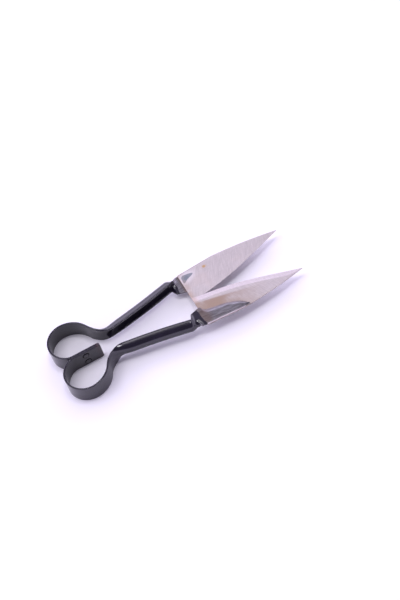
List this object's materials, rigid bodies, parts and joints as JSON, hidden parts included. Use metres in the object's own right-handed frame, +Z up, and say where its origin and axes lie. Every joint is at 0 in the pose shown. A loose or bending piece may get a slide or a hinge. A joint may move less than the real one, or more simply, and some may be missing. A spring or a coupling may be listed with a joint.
{
  "type": "spring hand shears",
  "caption": "One-piece spring hand shears with looped bows riveted at a short tongue, hollow grips and long triangular blades that slide over each other.",
  "frame": {"origin": "on the surface that the bow edges stand on, below the middle of the bounding box", "axes": "+X from the bows to the blade tips, +Y to the left, +Z up"},
  "size_m": [0.33, 0.1058, 0.0265],
  "materials": {
    "painted_strip": "glossy black enamel on formed spring strip; the tang plates are bare",
    "blade_steel": "ground steel with straw and blue heat tint near the heel",
    "weld_steel": "ground flush, heat tinted"
  },
  "bodies": {
    "bow": {"right_bow": "painted_strip", "left_bow": "painted_strip", "upper_bow_rivet": "painted_strip", "lower_bow_rivet": "painted_strip"},
    "right_arm": {"right_handle": "painted_strip", "right_blade": "blade_steel", "right_blade_welds": "weld_steel"},
    "left_arm": {"left_handle": "painted_strip", "left_blade": "blade_steel", "left_blade_welds": "weld_steel"}
  },
  "joints": [
    {"name": "right_bow_flex", "type": "hinge", "parent": "bow", "child": "right_arm", "pos_m": [-0.13795, -0.02585, 0.01325], "axis": [0, 0, 1], "range_deg": [0, 7.5], "stiffness_Nm_per_rad": 50, "deforming": ["right_bow"]},
    {"name": "left_bow_flex", "type": "hinge", "parent": "bow", "child": "left_arm", "pos_m": [-0.13795, 0.02585, 0.01325], "axis": [0, 0, -1], "range_deg": [0, 7.5], "stiffness_Nm_per_rad": 50, "deforming": ["left_bow"]}
  ]
}
